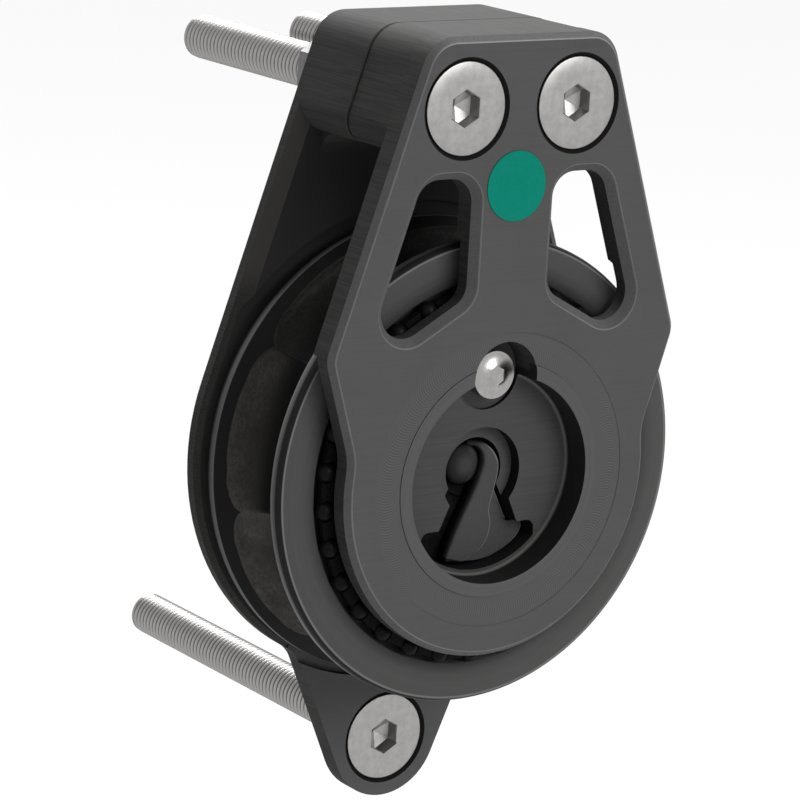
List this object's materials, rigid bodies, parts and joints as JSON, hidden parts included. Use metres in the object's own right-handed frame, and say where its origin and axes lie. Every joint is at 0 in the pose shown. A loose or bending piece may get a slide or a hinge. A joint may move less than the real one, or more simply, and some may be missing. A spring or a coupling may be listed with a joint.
{
  "type": "ratchet foot block",
  "caption": "Foot block for a rope: faceted ratchet sheave on ball and roller bearings between cheeks, with a selector lever in the hub and long countersunk mounting screws.",
  "frame": {"origin": "on the sheave axis, in the flat rear face that bolts to the deck or cabin side", "axes": "+Y out of the rear mounting face along the screws, so the front cheek faces -Y; +Z from the sheave axis to the head with the two screws; +X to the right seen from the front"},
  "size_m": [0.1056, 0.1439, 0.1801],
  "materials": {
    "black_anodised": "satin",
    "grey_anodised": "satin",
    "black_cap": "matte",
    "tool_steel": "ground",
    "stainless": "brushed",
    "black_ball": "gloss",
    "grey_cage": "matte",
    "pale_plastic": "matte",
    "green_mark": "matte"
  },
  "bodies": {
    "block": {"front_cheek": "black_anodised", "rear_cheek": "black_anodised", "hub_cap": "black_cap", "cover_plate": "tool_steel", "hub_drum": "black_anodised", "lock_screw": "stainless", "detent_plunger": "stainless", "pawl_pin_1": "stainless", "pawl_pin_2": "stainless", "pawl_spring_1": "stainless", "pawl_spring_2": "stainless", "mounting_screw_left": "stainless", "mounting_screw_right": "stainless", "mounting_screw_foot": "stainless", "retaining_nut_left": "pale_plastic", "retaining_nut_right": "pale_plastic", "retaining_nut_foot": "pale_plastic", "hub_screw_1": "stainless", "hub_screw_2": "stainless", "hub_screw_3": "stainless", "hub_screw_4": "stainless", "dowel_pin_lower": "stainless", "dowel_pin_upper": "stainless", "face_sticker": "green_mark"},
    "sheave_unit": {"sheave": "grey_anodised", "race_ring_front": "tool_steel", "race_ring_rear": "tool_steel", "ratchet_ring": "tool_steel"},
    "front_ball_ring": {"front_balls": "black_ball", "front_ball_cage": "grey_cage"},
    "rear_ball_ring": {"rear_balls": "black_ball", "rear_ball_cage": "grey_cage"},
    "front_roller_set": {"front_rollers": "black_ball", "front_roller_cage": "grey_cage"},
    "rear_roller_set": {"rear_rollers": "black_ball", "rear_roller_cage": "grey_cage"},
    "selector": {"selector_lever": "black_cap", "selector_cam": "tool_steel"},
    "pawl_a": {"pawl_1": "tool_steel"},
    "pawl_b": {"pawl_2": "tool_steel"}
  },
  "joints": [
    {"name": "sheave_spin", "type": "hinge", "parent": "block", "child": "sheave_unit", "pos_m": [0, -0.022, 0], "axis": [0, 1, 0], "continuous": true},
    {"name": "front_balls_roll", "type": "hinge", "parent": "block", "child": "front_ball_ring", "pos_m": [0, -0.0366, 0], "axis": [0, 1, 0], "continuous": true},
    {"name": "rear_balls_roll", "type": "hinge", "parent": "block", "child": "rear_ball_ring", "pos_m": [0, -0.0074, 0], "axis": [0, 1, 0], "continuous": true},
    {"name": "front_rollers_roll", "type": "hinge", "parent": "block", "child": "front_roller_set", "pos_m": [0, -0.0307, 0], "axis": [0, 1, 0], "continuous": true},
    {"name": "rear_rollers_roll", "type": "hinge", "parent": "block", "child": "rear_roller_set", "pos_m": [0, -0.0133, 0], "axis": [0, 1, 0], "continuous": true},
    {"name": "selector_turn", "type": "hinge", "parent": "block", "child": "selector", "pos_m": [0, -0.024, 0], "axis": [0, 1, 0], "range_deg": [0, 22]},
    {"name": "pawl_a_swing", "type": "hinge", "parent": "block", "child": "pawl_a", "pos_m": [0.0215, -0.022, 0], "axis": [0, 1, 0], "range_deg": [-19.25, 0]},
    {"name": "pawl_b_swing", "type": "hinge", "parent": "block", "child": "pawl_b", "pos_m": [-0.0215, -0.022, 0], "axis": [0, 1, 0], "range_deg": [-19.25, 0]}
  ],
  "couplings": [
    {"joint": "front_balls_roll", "follows": "sheave_spin", "ratio": 0.5},
    {"joint": "rear_balls_roll", "follows": "sheave_spin", "ratio": 0.5},
    {"joint": "front_rollers_roll", "follows": "sheave_spin", "ratio": 0.5364},
    {"joint": "rear_rollers_roll", "follows": "sheave_spin", "ratio": 0.5364},
    {"joint": "pawl_a_swing", "follows": "selector_turn", "ratio": -0.875},
    {"joint": "pawl_b_swing", "follows": "selector_turn", "ratio": -0.875}
  ]
}
